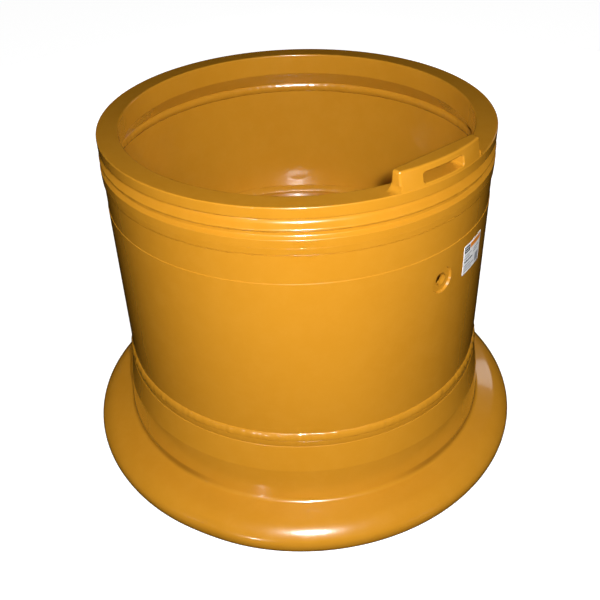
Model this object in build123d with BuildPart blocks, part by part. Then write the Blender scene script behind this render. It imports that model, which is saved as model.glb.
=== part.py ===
from build123d import *
import os
from math import cos, pi, radians, sin, tan

# Rim base of an earthmover wheel, standing on its back flange.
# Millimetres, +Z up, origin on the floor at the centre of the back flange.
# Azimuths are measured from -Y towards +X.

# Driving dimensions
rim_height = 581.0
seat_radius = 317.5
lip_radius = 305.0
lip_bore_radius = 272.0
wall = 15.0
flange_radius = 384.3
flange_thickness = 16.0
flange_slope = 13.0
shoulder_angle = 50.0
shoulder_radius = 51.0
rim_radius = 19.0
roll_radius = 26.0

# Barrel
land_radius = lip_radius + 1.5
barrel_radius = lip_radius + 0.3
machined_radius = lip_radius - 0.5
inner_radius = lip_radius - wall
root_radius = inner_radius + 8.0

# Depths below the face of the lip
gutter_joint = 67.4
gutter_weld_top = 58.0
gutter_weld_bottom = 70.3
machined_end = 114.0
disc_depth = 282.0
band_joint = 398.5
band_weld_top = 387.0
band_weld_bottom = 412.0
seat_start = 456.0
flange_root = 518.1

# Disc
disc_thickness = 18.0
hub_face_radius = 268.0
hub_face_step = 1.0
hub_bore_radius = 205.0
bolt_circle_radius = 235.0
bolt_count = 20
bolt_hole_radius = 12.0
disc_weld_leg = 10.0

# Driver lug and its slot
lug_azimuth = 40.0
lug_length = 157.0
lug_height = 28.0
lug_inner_face = 275.5
lug_lean = 5.0
slot_azimuth = 39.3
slot_half_angle = 7.3
slot_floor = 3.5
slot_height = 14.5
lug_weld_leg = 9.0

# Valve hole
valve_azimuth = 41.3
valve_depth = 165.5
valve_hole_radius = 10.3
valve_recess_radius = 21.0
valve_recess_floor_radius = 19.5
valve_recess_depth = 3.5
valve_seat_radius = 17.0
valve_bore_length = 6.0

# Label
label_azimuth = 56.7
label_depth = 160.0
label_width = 60.0
label_height = 50.0
label_thickness = 0.3


def below(depth):
    """Height above the floor of a level given as a depth below the lip's face."""
    return rim_height - depth


def outward(azimuth):
    """Horizontal unit vector that points away from the axis at an azimuth."""
    return Vector(sin(radians(azimuth)), -cos(radians(azimuth)), 0)


def radial_plane(azimuth):
    """Half-section plane at an azimuth, with x as radius and y as height."""
    return Plane(origin=(0, 0, 0), x_dir=outward(azimuth), z_dir=outward(azimuth).cross(Vector(0, 0, 1)))


os.makedirs("parts", exist_ok=True)

# Gutter ring: rolled section with the lip, the lock-ring gutter and the O-ring groove
with BuildPart() as gutter_ring:
    with BuildSketch(Plane.XZ):
        with BuildLine():
            FilletPolyline(
                (lip_bore_radius, below(0)),
                (lip_radius, below(0)),
                (lip_radius, below(16)),
                (lip_radius - 8, below(16)),
                (lip_radius - 8, below(23.9)),
                (lip_radius + 2.2, below(32.4)),
                (lip_radius - 4, below(37.2)),
                (lip_radius - 4, below(42.2)),
                (land_radius, below(46.2)),
                (land_radius, below(gutter_weld_top)),
                (root_radius + 1, below(gutter_joint)),
                (root_radius - 1, below(gutter_joint)),
                (inner_radius, below(60)),
                (lip_bore_radius, below(34.7)),
                radius=[2, 3, 0, 3, 8, 2, 2, 2, 1.5, 0, 0, 0, 0, 3],
                close=True,
            )
        make_face()
    revolve(axis=Axis.Z)
gutter_ring.part.label = "gutter_ring"
export_step(gutter_ring.part, "parts/gutter_ring.step")

# Outer weld between the gutter ring and the band, machined flush
with BuildPart() as gutter_weld_outer:
    with BuildSketch(Plane.XZ):
        with BuildLine():
            Polyline(
                (land_radius, below(gutter_weld_top)),
                (land_radius - 0.7, below(gutter_weld_bottom - 0.7)),
                (machined_radius, below(gutter_weld_bottom)),
                (root_radius + 1, below(gutter_joint)),
                close=True,
            )
        make_face()
    revolve(axis=Axis.Z)
gutter_weld_outer.part.label = "gutter_weld_outer"
export_step(gutter_weld_outer.part, "parts/gutter_weld_outer.step")

# Inner weld between the gutter ring and the band, with a raised crown
with BuildPart() as gutter_weld_inner:
    with BuildSketch(Plane.XZ):
        with BuildLine():
            ThreePointArc(
                (inner_radius, below(60)),
                (inner_radius - 3, below(gutter_joint)),
                (inner_radius, below(75)),
            )
            Polyline(
                (inner_radius, below(75)),
                (root_radius - 1, below(gutter_joint)),
                (inner_radius, below(60)),
            )
        make_face()
    revolve(axis=Axis.Z)
gutter_weld_inner.part.label = "gutter_weld_inner"
export_step(gutter_weld_inner.part, "parts/gutter_weld_inner.step")

# Centre band: rolled plate, machined over its upper end, with the valve hole spot-faced on both sides
with BuildPart() as centre_band:
    with BuildSketch(Plane.XZ):
        with BuildLine():
            Polyline(
                (root_radius + 1, below(gutter_joint)),
                (machined_radius, below(gutter_weld_bottom)),
                (machined_radius, below(machined_end)),
                (barrel_radius, below(machined_end + 0.8)),
                (barrel_radius, below(band_weld_top)),
                (root_radius + 1, below(band_joint)),
                (root_radius - 1, below(band_joint)),
                (inner_radius, below(band_joint - 7.5)),
                (inner_radius, below(75)),
                (root_radius - 1, below(gutter_joint)),
                close=True,
            )
        make_face()
    revolve(axis=Axis.Z)
    valve_axis = Plane(
        origin=outward(valve_azimuth) * barrel_radius + Vector(0, 0, below(valve_depth)),
        z_dir=outward(valve_azimuth),
    )
    with BuildSketch(valve_axis.offset(5)):
        Circle(valve_hole_radius)
    extrude(amount=-(wall + 15), mode=Mode.SUBTRACT)
    with BuildSketch(valve_axis):
        Circle(valve_recess_radius)
    with BuildSketch(valve_axis.offset(-valve_recess_depth)):
        Circle(valve_recess_floor_radius)
    loft(mode=Mode.SUBTRACT)
    with BuildSketch(valve_axis.offset(-valve_recess_depth - valve_bore_length)):
        Circle(valve_seat_radius)
    extrude(amount=-wall, mode=Mode.SUBTRACT)
centre_band.part.label = "centre_band"
export_step(centre_band.part, "parts/centre_band.step")

# Disc: plate inside the band, relieved outside the hub face, with the hub bore and the circle of stud holes
disc_relief = disc_thickness - hub_face_step
with BuildPart() as disc:
    with BuildSketch(Plane.XY.offset(below(disc_depth))):
        Circle(inner_radius)
    extrude(amount=-disc_relief)
    with BuildSketch(Plane.XY.offset(below(disc_depth))):
        Circle(hub_face_radius)
    extrude(amount=-disc_thickness)
    with BuildSketch(Plane.XY.offset(below(disc_depth))):
        Circle(hub_bore_radius)
        with PolarLocations(bolt_circle_radius, bolt_count):
            Circle(bolt_hole_radius)
    extrude(amount=-disc_thickness, mode=Mode.SUBTRACT)
    bore_rims = disc.edges().filter_by(GeomType.CIRCLE).filter_by(lambda edge: edge.radius == hub_bore_radius)
    chamfer(bore_rims, 1.5)
disc.part.label = "disc"
export_step(disc.part, "parts/disc.step")


def disc_weld(level, side):
    """Ring of fillet weld in the corner of the disc and the band; side is 1 above the disc, -1 below."""
    middle = disc_weld_leg / 2 + 0.8
    with BuildPart() as weld:
        with BuildSketch(Plane.XZ):
            with BuildLine():
                ThreePointArc(
                    (inner_radius, level + side * disc_weld_leg),
                    (inner_radius - middle, level + side * middle),
                    (inner_radius - disc_weld_leg, level),
                )
                Polyline(
                    (inner_radius - disc_weld_leg, level),
                    (inner_radius, level),
                    (inner_radius, level + side * disc_weld_leg),
                )
            make_face()
        revolve(axis=Axis.Z)
    return weld.part


disc_weld_upper = disc_weld(below(disc_depth), 1)
disc_weld_upper.label = "disc_weld_upper"
export_step(disc_weld_upper, "parts/disc_weld_upper.step")

disc_weld_lower = disc_weld(below(disc_depth + disc_relief), -1)
disc_weld_lower.label = "disc_weld_lower"
export_step(disc_weld_lower, "parts/disc_weld_lower.step")

# Back section: ramp, bead seat and curled back flange in one rolled profile.
# The flange falls away in a wide shoulder before it curls under.
ramp_radius = seat_radius - 8.5
flange_heel_radius = seat_radius + 4.2
flange_rise = tan(radians(flange_slope))
shoulder_width = 15.5
shoulder_corner = flange_root + (flange_radius - shoulder_width - flange_heel_radius) * flange_rise
rim_corner = shoulder_corner + shoulder_width * tan(radians(shoulder_angle))
under_radius = flange_radius - flange_thickness
under_roll_radius = 10.5
under_heel_radius = flange_heel_radius - flange_thickness + 0.5
under_line = flange_root + flange_thickness / cos(radians(flange_slope))
with BuildPart() as back_section:
    with BuildSketch(Plane.XZ):
        with BuildLine():
            FilletPolyline(
                (root_radius + 1, below(band_joint)),
                (ramp_radius, below(band_weld_bottom)),
                (seat_radius, below(seat_start)),
                (flange_heel_radius, below(flange_root)),
                (flange_radius - shoulder_width, below(shoulder_corner)),
                (flange_radius, below(rim_corner)),
                (flange_radius, 0),
                (flange_radius - 36, 0),
                (flange_radius - 36, flange_thickness),
                (under_radius, flange_thickness),
                (under_radius, below(under_line + (under_radius - flange_heel_radius) * flange_rise)),
                (under_heel_radius, below(under_line + (under_heel_radius - flange_heel_radius) * flange_rise)),
                (seat_radius - flange_thickness, below(seat_start + 2)),
                (inner_radius + 1.5, below(band_joint + 7.5)),
                (root_radius - 1, below(band_joint)),
                radius=[0, 0, 2, 8, shoulder_radius, rim_radius, roll_radius, 3, 3, under_roll_radius, under_roll_radius, 24, 6, 0, 0],
                close=True,
            )
        make_face()
    revolve(axis=Axis.Z)
back_section.part.label = "back_section"
export_step(back_section.part, "parts/back_section.step")

# Outer weld between the band and the back section, left as laid in two passes
weld_valley = (band_weld_top + band_weld_bottom) / 2
weld_valley_radius = (barrel_radius + ramp_radius) / 2 + 0.9
with BuildPart() as band_weld_outer:
    with BuildSketch(Plane.XZ):
        with BuildLine():
            ThreePointArc(
                (barrel_radius, below(band_weld_top)),
                (barrel_radius + 2.4, below(band_weld_top + 5.5)),
                (weld_valley_radius, below(weld_valley)),
            )
            ThreePointArc(
                (weld_valley_radius, below(weld_valley)),
                (ramp_radius + 0.9, below(band_weld_bottom - 6.5)),
                (ramp_radius, below(band_weld_bottom)),
            )
            Polyline(
                (ramp_radius, below(band_weld_bottom)),
                (root_radius + 1, below(band_joint)),
                (barrel_radius, below(band_weld_top)),
            )
        make_face()
    revolve(axis=Axis.Z)
band_weld_outer.part.label = "band_weld_outer"
export_step(band_weld_outer.part, "parts/band_weld_outer.step")

# Inner weld between the band and the back section
with BuildPart() as band_weld_inner:
    with BuildSketch(Plane.XZ):
        with BuildLine():
            ThreePointArc(
                (inner_radius, below(band_joint - 7.5)),
                (inner_radius - 2, below(band_joint)),
                (inner_radius + 1.5, below(band_joint + 7.5)),
            )
            Polyline(
                (inner_radius + 1.5, below(band_joint + 7.5)),
                (root_radius - 1, below(band_joint)),
                (inner_radius, below(band_joint - 7.5)),
            )
        make_face()
    revolve(axis=Axis.Z)
band_weld_inner.part.label = "band_weld_inner"
export_step(band_weld_inner.part, "parts/band_weld_inner.step")

# Driver lug: straight bar on the lip with square ends, flush with the lip's outside at its foot and
# leaning inwards from there, with a slot right through
lug_axes = Plane(origin=(0, 0, rim_height), x_dir=outward(lug_azimuth), z_dir=(0, 0, 1))
lug_half = lug_length / 2
lug_corner = (lip_radius**2 - lug_half**2) ** 0.5
with BuildPart() as driver_lug:
    with BuildSketch(lug_axes):
        with BuildLine():
            RadiusArc((lug_corner, -lug_half), (lug_corner, lug_half), -lip_radius)
            Polyline(
                (lug_corner, lug_half),
                (lug_inner_face, lug_half),
                (lug_inner_face, -lug_half),
                (lug_corner, -lug_half),
            )
        make_face()
    extrude(amount=lug_height)
    with BuildSketch(Plane.XZ):
        with BuildLine():
            Polyline(
                (lip_radius, rim_height),
                (lip_radius - lug_lean, rim_height + lug_height),
                (lip_radius + 10, rim_height + lug_height),
                (lip_radius + 10, rim_height),
                close=True,
            )
        make_face()
    revolve(axis=Axis.Z, mode=Mode.SUBTRACT)
    fillet(driver_lug.edges().filter_by(lambda edge: edge.bounding_box().size.Z > lug_height - 1), 4)
    fillet(driver_lug.faces().sort_by(Axis.Z)[-1].edges(), 3.5)
    with BuildSketch(radial_plane(slot_azimuth - slot_half_angle)):
        with BuildLine():
            Polyline(
                (lug_inner_face - 10, rim_height + slot_floor),
                (lip_radius + 10, rim_height + slot_floor),
                (lip_radius + 10, rim_height + slot_floor + slot_height),
                (lug_inner_face - 10, rim_height + slot_floor + slot_height),
                close=True,
            )
        make_face()
    revolve(axis=Axis.Z, revolution_arc=2 * slot_half_angle, mode=Mode.SUBTRACT)
    slot_corners = driver_lug.edges(Select.LAST).filter_by(GeomType.LINE).filter_by(Plane.XY)
    fillet(slot_corners.filter_by(lambda edge: edge.length > 15 and edge.length < 40), 4)
    slot_mouth = driver_lug.faces().filter_by(GeomType.CONE).sort_by(SortBy.AREA)[-1].inner_wires()[0].edges()
    fillet(slot_mouth, 2)
driver_lug.part.label = "driver_lug"
export_step(driver_lug.part, "parts/driver_lug.step")

# Hollow fillet welds between the ends of the lug and the lip, dressed flush with the lip's outside
with BuildPart() as driver_lug_weld:
    for side in (-1, 1):
        foot = Plane(
            origin=lug_axes.from_local_coords((0, side * lug_half, 0)),
            x_dir=lug_axes.y_dir * side,
            z_dir=lug_axes.x_dir * side,
        )
        with BuildSketch(foot.offset(side * (lug_inner_face + 1))):
            with BuildLine():
                RadiusArc((lug_weld_leg, 0), (0, lug_weld_leg), lug_weld_leg)
                Polyline((0, lug_weld_leg), (0, 0), (lug_weld_leg, 0))
            make_face()
        extrude(amount=side * 26)
    with BuildSketch(Plane.XY.offset(rim_height)):
        Circle(lip_radius)
    extrude(amount=lug_weld_leg, mode=Mode.INTERSECT)
driver_lug_weld.part.label = "driver_lug_weld"
export_step(driver_lug_weld.part, "parts/driver_lug_weld.step")

# Label: thin curved sheet stuck on the band
label_angle = 360 * label_width / (2 * pi * barrel_radius)
with BuildPart() as label:
    with BuildSketch(radial_plane(label_azimuth - label_angle / 2)):
        with BuildLine():
            Polyline(
                (barrel_radius, below(label_depth + label_height / 2)),
                (barrel_radius + label_thickness, below(label_depth + label_height / 2)),
                (barrel_radius + label_thickness, below(label_depth - label_height / 2)),
                (barrel_radius, below(label_depth - label_height / 2)),
                close=True,
            )
        make_face()
    revolve(axis=Axis.Z, revolution_arc=label_angle)
label.part.label = "label"
export_step(label.part, "parts/label.step")
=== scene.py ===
import math

import bpy
from mathutils import Matrix, Vector, noise


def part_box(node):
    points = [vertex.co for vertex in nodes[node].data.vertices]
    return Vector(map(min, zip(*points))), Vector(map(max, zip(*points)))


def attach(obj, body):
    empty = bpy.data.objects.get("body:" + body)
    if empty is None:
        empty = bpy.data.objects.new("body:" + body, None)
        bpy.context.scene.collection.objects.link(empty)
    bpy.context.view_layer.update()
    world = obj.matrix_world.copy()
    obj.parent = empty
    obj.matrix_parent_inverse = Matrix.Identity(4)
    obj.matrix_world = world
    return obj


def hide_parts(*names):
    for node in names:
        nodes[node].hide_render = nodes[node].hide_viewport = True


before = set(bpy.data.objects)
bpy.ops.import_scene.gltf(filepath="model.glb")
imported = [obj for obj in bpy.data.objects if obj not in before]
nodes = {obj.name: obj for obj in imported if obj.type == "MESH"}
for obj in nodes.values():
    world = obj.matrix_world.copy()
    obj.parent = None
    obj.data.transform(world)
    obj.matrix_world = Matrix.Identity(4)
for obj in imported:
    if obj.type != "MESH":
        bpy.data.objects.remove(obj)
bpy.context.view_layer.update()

# Levels and radii of the rim, read from the CAD boxes (metres)
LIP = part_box("gutter_ring")[1].z
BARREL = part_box("centre_band")[1].x
disc_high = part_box("disc")[1]
DISC_TOP = disc_high.z
INNER = disc_high.x
label_low, label_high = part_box("label")


# ---------------------------------------------------------------- materials
class Nodes:
    """Small helper that adds and links shader nodes."""

    def __init__(self, name):
        self.material = bpy.data.materials.new(name)
        self.material.use_nodes = True
        self.tree = self.material.node_tree
        self.shader = self.tree.nodes["Principled BSDF"]
        self.position = self.add("ShaderNodeTexCoord").outputs["Object"]

    def add(self, kind, inputs=None, **settings):
        node = self.tree.nodes.new(kind)
        for key, value in settings.items():
            setattr(node, key, value)
        for key, value in (inputs or {}).items():
            self.set(node.inputs[key], value)
        return node

    def set(self, socket, value):
        if isinstance(value, bpy.types.NodeSocket):
            self.tree.links.new(value, socket)
        else:
            socket.default_value = value

    def math(self, operation, a, b=0.0):
        return self.add("ShaderNodeMath", {0: a, 1: b}, operation=operation).outputs[0]

    def between(self, value, rise_start, rise_end, fall_start, fall_end):
        """1 from rise_end to fall_start, 0 outside the other two."""
        rise = self.ramp(value, rise_start, rise_end)
        return self.math("SUBTRACT", rise, self.ramp(value, fall_start, fall_end))

    def noise(self, scale, detail=2.0, roughness=0.5, vector=None):
        inputs = {
            "Vector": vector or self.position,
            "Scale": scale,
            "Detail": detail,
            "Roughness": roughness,
        }
        return self.add("ShaderNodeTexNoise", inputs).outputs["Fac"]

    def ramp(self, value, low, high):
        """Smooth step from 0 at low to 1 at high."""
        inputs = {"Value": value, "From Min": low, "From Max": high}
        node = self.add("ShaderNodeMapRange", inputs, interpolation_type="SMOOTHSTEP")
        return node.outputs["Result"]

    def mix(self, factor, a, b):
        """Blend of two colours, which the mix node takes in sockets 6 and 7 and gives in output 2."""
        node = self.add("ShaderNodeMix", {0: factor, 6: a, 7: b}, data_type="RGBA")
        return node.outputs[2]

    def bump(self, height, distance, strength, normal=None):
        inputs = {"Height": height, "Distance": distance, "Strength": strength}
        node = self.add("ShaderNodeBump", inputs)
        if normal:
            self.set(node.inputs["Normal"], normal)
        return node.outputs["Normal"]


OCHRE = (0.50, 0.216, 0.014, 1)
OCHRE_DARK = (0.48, 0.203, 0.012, 1)
OCHRE_PALE = (0.52, 0.229, 0.018, 1)
# Colour of the painted shade in the heel crease of the bead seat
HEEL_PAINTED_SHADE = (0.17, 0.065, 0.004, 1)

# Painted shade in the crease along the heel of the bead seat, left and right of the front (metres)
HEEL_SHADE_HEIGHTS = (0.061, 0.068, 0.073, 0.078)
HEEL_SHADE_ASIDE = (0.13, 0.21)
HEEL_SHADE_RADII = (0.315, 0.319)


def paint(name, machined=0.0, scale_marks=0.0, weld=0.0, heel_shade=0.0):
    """Glossy ochre enamel. The numbers are the strengths of the turning marks, the mill scale under
    the paint, the weld's roughness and the painted shade in the crease at the heel of the bead seat."""
    n = Nodes(name)
    parts = n.add("ShaderNodeSeparateXYZ", {0: n.position})
    flat = n.add("ShaderNodeCombineXYZ", {0: parts.outputs[0], 1: parts.outputs[1]})
    radius = n.add("ShaderNodeVectorMath", {0: flat.outputs[0]}, operation="LENGTH").outputs["Value"]
    turned = n.add("ShaderNodeCombineXYZ", {0: radius, 2: parts.outputs[2]}).outputs[0]

    drift = n.noise(5.0, 3.0, 0.6)
    mottle = n.noise(38.0, 4.0, 0.65)
    tone = n.mix(n.ramp(drift, 0.3, 0.7), OCHRE_DARK, OCHRE)
    tone = n.mix(n.math("MULTIPLY", n.ramp(mottle, 0.35, 0.75), 0.5), tone, OCHRE_PALE)
    # Painted shade: the heel crease of the bead seat is darkened towards the shade colour, only left
    # and right of the front
    if heel_shade:
        heel = n.between(parts.outputs[2], *HEEL_SHADE_HEIGHTS)
        aside = n.ramp(n.math("ABSOLUTE", parts.outputs[0]), *HEEL_SHADE_ASIDE)
        outside = n.ramp(radius, *HEEL_SHADE_RADII)
        band = n.math("MULTIPLY", heel, aside)
        shade_share = n.math("MULTIPLY", band, n.math("MULTIPLY", outside, heel_shade))
        tone = n.mix(shade_share, tone, HEEL_PAINTED_SHADE)
    n.set(n.shader.inputs["Base Color"], tone)

    mottle_to_roughness = {
        "Value": mottle,
        "From Min": 0.3,
        "From Max": 0.7,
        "To Min": 0.22,
        "To Max": 0.27,
    }
    rough = n.add("ShaderNodeMapRange", mottle_to_roughness)
    n.set(n.shader.inputs["Roughness"], rough.outputs["Result"])
    n.shader.inputs["Specular IOR Level"].default_value = 0.6
    n.shader.inputs["Coat Weight"].default_value = 1.0
    n.shader.inputs["Coat Roughness"].default_value = 0.08

    # Slow waves in the surface, the orange peel of the paint, then the marks of the steel under it
    normal = n.bump(n.noise(9.0, 2.0), 0.004, 0.06)
    normal = n.bump(n.noise(260.0, 2.0), 0.0005, 0.12, normal)
    if machined:
        marks = n.noise(900.0, 3.0, 0.6, turned)
        normal = n.bump(marks, 0.0004, machined, normal)
    if scale_marks:
        pits = n.noise(95.0, 3.0, 0.5)
        normal = n.bump(pits, 0.0008, scale_marks, normal)
    if weld:
        spatter = n.noise(700.0, 3.0, 0.6)
        normal = n.bump(spatter, 0.0006, weld, normal)
    n.set(n.shader.inputs["Normal"], normal)
    return n.material


def printed(name, color):
    """Printed film with a faint relief of wrinkles."""
    n = Nodes(name)
    worn = tuple(c * 0.93 for c in color[:3]) + (1,)
    shade = n.mix(n.ramp(n.noise(60.0, 3.0), 0.35, 0.75), color, worn)
    n.set(n.shader.inputs["Base Color"], shade)
    n.shader.inputs["Roughness"].default_value = 0.35
    n.shader.inputs["Coat Weight"].default_value = 0.2
    normal = n.bump(n.noise(45.0, 2.0), 0.0008, 0.25)
    n.set(n.shader.inputs["Normal"], normal)
    return n.material


def floor_material():
    """Pale grey that glows evenly, so that the floor and the wall stay white in the picture."""
    n = Nodes("studio_floor")
    shade = n.mix(n.noise(1.4, 3.0), (0.40, 0.40, 0.40, 1), (0.44, 0.44, 0.44, 1))
    n.set(n.shader.inputs["Base Color"], shade)
    n.shader.inputs["Roughness"].default_value = 0.85
    n.shader.inputs["Emission Color"].default_value = (1, 1, 1, 1)
    n.shader.inputs["Emission Strength"].default_value = 0.94
    n.set(n.shader.inputs["Normal"], n.bump(n.noise(120.0, 3.0), 0.001, 0.05))
    return n.material


PAINT_MACHINED = paint("paint_machined", machined=0.10)
PAINT_ROLLED = paint("paint_rolled", scale_marks=0.08)
# The bead seat ring carries the painted shade in its heel crease
PAINT_SEAT = paint("paint_seat", scale_marks=0.08, heel_shade=0.6)
PAINT_WELD = paint("paint_weld", weld=0.10)


def dress(node, material):
    """Paints a CAD node that is shown as it is."""
    data = nodes[node].data
    data.materials.clear()
    data.materials.append(material)


for name in ("driver_lug", "driver_lug_weld"):
    dress(name, PAINT_MACHINED)
for name in ("centre_band", "disc"):
    dress(name, PAINT_ROLLED)


# ---------------------------------------------------------------- pieces
def add_piece(name, vertices, faces, materials, node, material_index=None):
    """Mesh piece that rides on the rim and stands for a CAD node."""
    mesh = bpy.data.meshes.new(name)
    mesh.from_pydata(vertices, [], faces)
    mesh.validate()
    for material in materials:
        mesh.materials.append(material)
    mesh.shade_smooth()
    if material_index:
        mesh.polygons.foreach_set("material_index", material_index)
    piece = bpy.data.objects.new(name, mesh)
    bpy.context.scene.collection.objects.link(piece)
    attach(piece, "root")
    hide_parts(node)


SEGMENTS = 360  # round a turned ring
LONG_STRETCH = 0.002  # straight stretches longer than this get a point close to each end,
HOLD = 0.0004  # this far from it, so that smooth shading keeps them flat (metres)


def rounded(corners, steps):
    """Closed outline with its corners rounded, each in that many steps.
    Each corner is (radius, height, rounding) in metres."""
    stretches = []
    for i, (x, y, fillet) in enumerate(corners):
        corner = Vector((x, y))
        to_last = (Vector(corners[i - 1][:2]) - corner).normalized()
        to_next = (Vector(corners[(i + 1) % len(corners)][:2]) - corner).normalized()
        if fillet == 0:
            stretches.append([corner])
            continue
        half = to_last.angle(to_next) / 2
        middle = corner + (to_last + to_next).normalized() * fillet / math.sin(half)
        start = corner + to_last * fillet / math.tan(half) - middle
        end = corner + to_next * fillet / math.tan(half) - middle
        turn = math.atan2(start.x * end.y - start.y * end.x, start.dot(end))
        turns = [Matrix.Rotation(turn * k / steps, 2) for k in range(steps + 1)]
        stretches.append([middle + rotation @ start for rotation in turns])
    outline = []
    for i, stretch in enumerate(stretches):
        outline += stretch
        start, end = stretch[-1], stretches[(i + 1) % len(stretches)][0]
        if (end - start).length > LONG_STRETCH:
            step = (end - start).normalized() * HOLD
            outline += [start + step, end - step]
    return outline


def add_turned(name, node, corners, material, steps=7, shape=None):
    """Closed ring with a rounded outline, fine enough for long highlights to run unbroken.
    shape moves an outline point at an azimuth, which is measured from -Y towards +X."""
    outline = rounded(corners, steps)
    count = len(outline)
    vertices, faces = [], []
    for i in range(SEGMENTS):
        azimuth = 2 * math.pi * i / SEGMENTS
        for point in outline:
            r, z = shape(azimuth, point) if shape else point
            vertices.append((r * math.sin(azimuth), -r * math.cos(azimuth), z))
    for i in range(SEGMENTS):
        k = (i + 1) % SEGMENTS
        for j in range(count):
            m = (j + 1) % count
            faces.append((i * count + j, i * count + m, k * count + m, k * count + j))
    add_piece(name, vertices, faces, [material], node)


def sway(angle, turns, seed):
    """Smooth noise that closes on itself round the ring, about -1 to 1."""
    return noise.noise(Vector((math.cos(angle) * turns, math.sin(angle) * turns, seed * 7.3))) * 2.0


def wander(angle, seed, fine_seed):
    """How far the toe of a bead strays, about 0.1 to 1.1: slow turns with quicker ones on them."""
    return 0.6 + 0.3 * sway(angle, 14.0, seed) + 0.2 * sway(angle, 45.0, fine_seed)


TOE_SINK = 0.0002  # how deep the toes of a bead sit in the steel (metres)
RIPPLE_LAG = 0.55  # how far the ripples trail at the toes, which makes them crescents (ripples)
RIPPLE_MEAN = 0.6  # about the mean of a ripple's height, taken off so that the crown stays true


def weld_ring(
    name, node, toe_a, toe_b, root, *, crown, pitch, ripple, spread, lumps, seed,
    samples=6, across=10, plump=1.0,
):
    """Closed ring of weld bead: crescent ripples over a crown, with toes that wander on the steel.
    The toes and the root are (radius, height). The crown's height, the pitch and height of the
    ripples, the toes' wandering and the height of the lumps are in metres. samples is the number
    of steps in a ripple, across the number of points over the bead, and a plump below 1 makes
    the bead fuller towards its toes."""
    a, b, r = Vector(toe_a), Vector(toe_b), Vector(root)
    chord = b - a
    out = Vector((-chord.y, chord.x)).normalized()
    if out.dot(r - (a + b) / 2) > 0:
        out = -out
    count = round(2 * math.pi * (a.x + b.x) / 2 / pitch)
    steps = count * samples
    vertices, faces = [], []
    for i in range(steps):
        angle = 2 * math.pi * i / steps
        phase = count * angle / (2 * math.pi) + 0.35 * sway(angle, 9.0, seed)
        stray_a = wander(angle, seed + 1, seed + 5)
        stray_b = wander(angle, seed + 2, seed + 6)
        end_a = a - chord.normalized() * spread * stray_a - out * TOE_SINK
        end_b = b + chord.normalized() * spread * stray_b - out * TOE_SINK
        height = crown * (1 + 0.10 * sway(angle, 6.0, seed + 3)) + lumps * sway(angle, 40.0, seed + 4)
        for j in range(across):
            t = j / (across - 1)
            arch = (4 * t * (1 - t)) ** plump
            hump = abs(math.sin(math.pi * (phase - RIPPLE_LAG * (1 - arch)))) - RIPPLE_MEAN
            point = end_a.lerp(end_b, t) + out * (height * arch + ripple * hump * arch ** 0.5)
            vertices.append((point.x * math.cos(angle), point.x * math.sin(angle), point.y))
        vertices.append((r.x * math.cos(angle), r.x * math.sin(angle), r.y))
    ring = across + 1
    for i in range(steps):
        k = (i + 1) % steps
        for j in range(ring):
            m = (j + 1) % ring
            faces.append((i * ring + j, k * ring + j, k * ring + m, i * ring + m))
    add_piece(name, vertices, faces, [PAINT_WELD], node)


def corner_weld(name, node, level, side, pitch, seed):
    """Fillet weld in the corner of the disc and the band; side is 1 above the disc, -1 below."""
    low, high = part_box(node)
    leg = high.z - low.z
    weld_ring(
        name, node, (INNER, level + side * leg), (INNER - leg, level), (INNER, level),
        crown=0.0009, pitch=pitch, ripple=0.0003, spread=0.0009, lumps=0.0003, seed=seed,
    )


def at(radius, depth, rounding=0.0):
    """Corner given in millimetres, with its depth below the face of the lip."""
    return radius / 1000, LIP - depth / 1000, rounding / 1000


FLAT_AZIMUTH = -26  # degrees; minus is left of the front
FLAT_SPREAD = 8  # degrees
FLAT_DEPTH = 0.0022  # metres, as are the next two
FLAT_FROM = 0.372  # radius where the flat begins to tell,
FLAT_RUN = 0.012  # and how far out from there it has its full depth


def flat_spot(azimuth, point):
    """Slight flat on the rolled edge of the flange, such as a knock leaves."""
    r, z = point
    swing = (math.degrees(azimuth) - FLAT_AZIMUTH + 180) % 360 - 180
    share = max(0.0, (r - FLAT_FROM) / FLAT_RUN) * math.exp(-((swing / FLAT_SPREAD) ** 2))
    return r - FLAT_DEPTH * share, z


# Lip, lock-ring gutter, ridge, O-ring groove and land, then the root of the weld and the inside
add_turned("gutter_ring_section", "gutter_ring", [
    at(272, 0, 2.5),
    at(305, 0, 1.8),
    at(305, 16, 0.8),
    at(297, 16, 3),
    at(297, 23.9, 8),
    at(307.2, 32.4, 2.2),
    at(301, 37.2, 2),
    at(301, 42.2, 2),
    at(306.5, 46.2, 1.2),
    at(306.5, 58),
    at(299, 67.4),
    at(297, 67.4),
    at(290, 60),
    at(272, 34.7, 3),
], PAINT_MACHINED)

# Weld turned flush with the land, with a narrow groove left under it
add_turned("gutter_weld_outer_ring", "gutter_weld_outer", [
    at(306.5, 58),
    at(306, 68.2, 0.2),
    at(303.2, 68.8),
    at(303.2, 69.9),
    at(304.9, 69.5, 0.15),
    at(304.9, 70.5),
    at(303, 70.9),
    at(298, 67.4),
], PAINT_MACHINED, steps=3)

# Ramp, bead seat, heel, flange and its roll on the floor, then back along the inside
add_turned("back_section_ring", "back_section", [
    at(299, 398.5),
    at(309, 412),
    at(317.5, 456, 2),
    at(321.7, 518.1, 8),
    at(368.8, 528.97, 51),
    at(384.3, 547.44, 19),
    at(384.3, 581, 26),
    at(348.3, 581, 3),
    at(348.3, 565, 3),
    at(368.3, 565, 10.5),
    at(368.3, 545.28, 10.5),
    at(306.2, 530.94, 24),
    at(301.5, 458, 6),
    at(291.5, 406),
    at(297, 398.5),
], PAINT_SEAT, steps=14, shape=flat_spot)

corner_weld("disc_weld_upper_bead", "disc_weld_upper", DISC_TOP, 1, 0.0042, 3)
corner_weld("disc_weld_lower_bead", "disc_weld_lower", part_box("disc_weld_lower")[1].z, -1, 0.006, 11)

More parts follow.
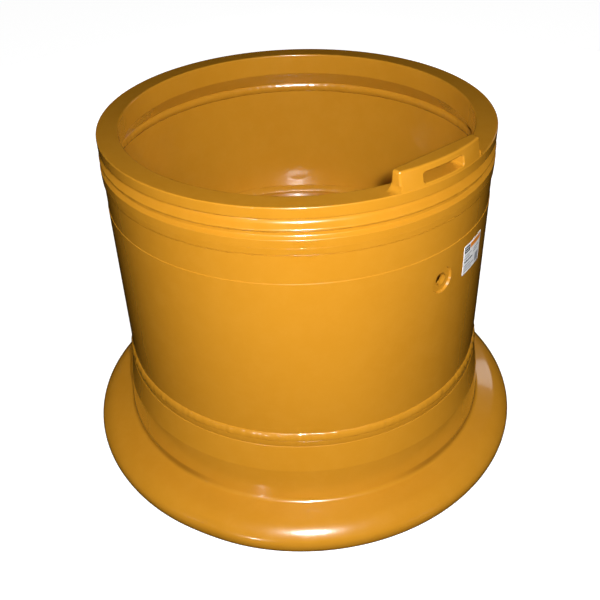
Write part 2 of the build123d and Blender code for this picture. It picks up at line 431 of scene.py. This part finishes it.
# The outer weld of the back joint is two passes with a valley between them. Each runs a little
# past the valley, and the lower one ends just under the surface of the ramp.
RAMP_TOP = 0.309
WELD_DEPTH = 0.006
VALLEY_RISE = 0.0014  # above the straight line between the outer toes
weld_low, weld_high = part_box("band_weld_outer")
valley = Vector(((BARREL + RAMP_TOP) / 2 + VALLEY_RISE, (weld_low.z + weld_high.z) / 2))
weld_root = (BARREL - WELD_DEPTH, valley.y)
upper_end = (valley.x, valley.y - 0.001)
lower_start = (valley.x, valley.y + 0.002)
ramp_toe = (RAMP_TOP - 0.0008, weld_low.z)
weld_ring(
    "band_weld_outer_upper_pass", "band_weld_outer",
    (BARREL, weld_high.z), upper_end, weld_root,
    crown=0.0022, pitch=0.0050, ripple=0.00002, spread=0.0009, lumps=0.0004, seed=21,
    samples=5, across=18, plump=0.7,
)
weld_ring(
    "band_weld_outer_lower_pass", "band_weld_outer",
    lower_start, ramp_toe, weld_root,
    crown=0.0008, pitch=0.0050, ripple=0.00001, spread=0.0004, lumps=0.0001, seed=26,
    samples=5, across=18, plump=0.6,
)

weld_low, weld_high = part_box("band_weld_inner")
weld_ring(
    "band_weld_inner_bead", "band_weld_inner",
    (INNER, weld_high.z), (INNER + 0.0015, weld_low.z),
    (INNER + WELD_DEPTH, (weld_low.z + weld_high.z) / 2),
    crown=0.0025, pitch=0.006, ripple=0.0003, spread=0.0006, lumps=0.0004, seed=31,
)

weld_low, weld_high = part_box("gutter_weld_inner")
weld_ring(
    "gutter_weld_inner_bead", "gutter_weld_inner",
    (INNER, weld_high.z), (INNER, weld_low.z),
    (INNER + WELD_DEPTH, (weld_low.z + weld_high.z) / 2),
    crown=0.0029, pitch=0.0040, ripple=0.00012, spread=0.0010, lumps=0.00025, seed=41,
)


# Label: curved white film with plain bars and blocks. Each is (left, top, right, bottom, ink),
# in shares of the film's width and height; ink is 0 white, 1 black, 2 orange or 3 grey.
FILM_THICKNESS = 0.0003
FILM_SINK = 0.0002
PRINT = [
    (0.03, 0.05, 0.31, 0.27, 1),
    (0.33, 0.05, 0.97, 0.22, 2),
    (0.07, 0.10, 0.27, 0.13, 0),
    (0.07, 0.18, 0.24, 0.21, 0),
    (0.06, 0.35, 0.44, 0.385, 3),
    (0.06, 0.44, 0.36, 0.475, 3),
    (0.55, 0.35, 0.90, 0.385, 3),
    (0.55, 0.44, 0.80, 0.475, 3),
    (0.06, 0.55, 0.52, 0.60, 1),
    (0.06, 0.70, 0.40, 0.735, 3),
    (0.06, 0.79, 0.62, 0.825, 3),
    (0.06, 0.88, 0.48, 0.915, 3),
    (0.70, 0.62, 0.92, 0.92, 3),
]


def add_label():
    """Film bent round the band, as a grid of small faces that each take one ink."""
    columns, rows = 120, 100
    film = label_high.z - label_low.z
    outside = BARREL + FILM_THICKNESS
    start = math.asin(label_low.x / BARREL)
    end = math.asin(label_high.x / outside)
    inks = [
        printed("label_white", (0.88, 0.88, 0.88, 1)),
        printed("label_black", (0.03, 0.03, 0.035, 1)),
        printed("label_orange", (0.85, 0.27, 0.02, 1)),
        printed("label_grey", (0.30, 0.30, 0.33, 1)),
    ]
    vertices, faces, ink = [], [], []
    for radius in (outside, BARREL - FILM_SINK):
        for j in range(rows + 1):
            for i in range(columns + 1):
                azimuth = start + (end - start) * i / columns
                z = label_high.z - film * j / rows
                vertices.append((radius * math.sin(azimuth), -radius * math.cos(azimuth), z))
    row = columns + 1
    back = row * (rows + 1)
    for j in range(rows):
        for i in range(columns):
            u, v = (i + 0.5) / columns, (j + 0.5) / rows
            color = 0
            for left_side, top, right_side, bottom, index in PRINT:
                if left_side <= u <= right_side and top <= v <= bottom:
                    color = index
            k = j * row + i
            faces.append((k, k + row, k + row + 1, k + 1))
            ink.append(color)
            faces.append((back + k, back + k + 1, back + k + row + 1, back + k + row))
            ink.append(0)
    border = list(range(row)) + [j * row + columns for j in range(1, rows + 1)]
    border += [rows * row + i for i in range(columns - 1, -1, -1)]
    border += [j * row for j in range(rows - 1, 0, -1)]
    for a, b in zip(border, border[1:] + border[:1]):
        faces.append((a, b, back + b, back + a))
        ink.append(0)
    add_piece("label_film", vertices, faces, inks, "label", ink)


add_label()


# ---------------------------------------------------------------- floor, light, camera
FLOOR_RADIUS = 6.0  # metres, as are the next two
COVE_RADIUS = 3.0
WALL_TOP = 9.0


def add_floor():
    """Pale studio cove: a flat floor that curves up into a round wall, kept out of the paint's
    reflections."""
    outline = [(2.0, 0.0), (FLOOR_RADIUS, 0.0)]
    for degrees in range(6, 91, 6):
        a = math.radians(degrees)
        radius = FLOOR_RADIUS + COVE_RADIUS * math.sin(a)
        outline.append((radius, COVE_RADIUS - COVE_RADIUS * math.cos(a)))
    outline.append((FLOOR_RADIUS + COVE_RADIUS, WALL_TOP))
    segments, ring = 96, len(outline)
    vertices = []
    for i in range(segments):
        azimuth = 2 * math.pi * i / segments
        vertices += [(r * math.cos(azimuth), r * math.sin(azimuth), z) for r, z in outline]
    vertices.append((0, 0, 0))
    faces = []
    for i in range(segments):
        k = (i + 1) % segments
        faces.append((len(vertices) - 1, i * ring, k * ring))
        for j in range(ring - 1):
            faces.append((i * ring + j, i * ring + j + 1, k * ring + j + 1, k * ring + j))
    mesh = bpy.data.meshes.new("studio_floor")
    mesh.from_pydata(vertices, [], faces)
    mesh.shade_smooth()
    mesh.materials.append(floor_material())
    floor = bpy.data.objects.new("studio_floor", mesh)
    bpy.context.scene.collection.objects.link(floor)
    floor.visible_diffuse = False
    floor.visible_glossy = False


def add_area(name, location, target, size, power, diffuse=True, glossy=True):
    """Round white lamp aimed at a target. It lights the paint, shows in its gloss, or does both."""
    light = bpy.data.lights.new(name, "AREA")
    light.shape = "DISK"
    light.size = size
    light.energy = power
    lamp = bpy.data.objects.new(name, light)
    lamp.location = location
    lamp.rotation_mode = "QUATERNION"
    lamp.rotation_quaternion = (Vector(target) - Vector(location)).to_track_quat("-Z", "Y")
    lamp.visible_diffuse = diffuse
    lamp.visible_glossy = glossy
    bpy.context.scene.collection.objects.link(lamp)


# Camera: its place in metres, its turns in radians (down, to the right, round its own axis)
EYE = Vector((0.0, -1.1774, 1.059))
PITCH, YAW, ROLL = 0.6157, -0.0029, -0.0317
LENS, SENSOR = 48.08, 36.0
ahead = Vector((math.sin(YAW) * math.cos(PITCH), math.cos(YAW) * math.cos(PITCH), -math.sin(PITCH)))
right = ahead.cross(Vector((0, 0, 1))).normalized()
up = right.cross(ahead)
tilted_right = math.cos(ROLL) * right + math.sin(ROLL) * up
tilted_up = math.cos(ROLL) * up - math.sin(ROLL) * right
camera_data = bpy.data.cameras.new("camera")
camera_data.sensor_width = SENSOR
camera_data.lens = LENS
camera_data.clip_start, camera_data.clip_end = 0.05, 100
camera = bpy.data.objects.new("camera", camera_data)
turned_to = Matrix((tilted_right, tilted_up, -ahead)).transposed().to_4x4()
camera.matrix_world = Matrix.Translation(EYE) @ turned_to
bpy.context.scene.collection.objects.link(camera)
bpy.context.scene.camera = camera

add_floor()

# A flash by the lens, split into the light that it gives and the highlight that it makes
UPPER_BAND = (0, 0, 0.33)
key_place = EYE + Vector((0.05, -0.02, 0.05))
add_area("key", key_place, UPPER_BAND, size=0.05, power=21.5, glossy=False)
shine_place = EYE + Vector((0.025, -0.02, 0.10))
add_area("shine", shine_place, UPPER_BAND, size=0.10, power=31.0, diffuse=False)

# A far fill from the front, and low lights for the sides and the back
add_area("fill", (0.1, -3.2, 2.3), (0, 0, 0.2), size=0.4, power=46.0, glossy=False)
for side, power in ((-1, 12.0), (1, 9.0)):
    side_place, back_place = (2.1 * side, -1.7, 0.45), (1.4 * side, 1.8, 0.26)
    add_area("side_fill", side_place, (0, 0, 0.25), size=0.5, power=power, glossy=False)
    add_area("back_light", back_place, (0, 0, 0.28), size=0.5, power=20.0, glossy=False)

# Two that only show in the gloss: glints along the welds from the low left, and a sheen on the
# right of the flange
add_area("low_left", (-0.95, -2.2, 0.34), (0, 0, 0.1), size=0.16, power=4.0, diffuse=False)
add_area("sheen", (1.82, 2.1, 1.5), (0.36, -0.05, 0.05), size=0.45, power=1.0, diffuse=False)

world = bpy.data.worlds.new("studio")
world.use_nodes = True
background = world.node_tree.nodes["Background"].inputs
background["Color"].default_value = (1, 1, 1, 1)
background["Strength"].default_value = 0.025
world.cycles_visibility.glossy = False
bpy.context.scene.world = world
bpy.context.scene.view_settings.view_transform = "Standard"
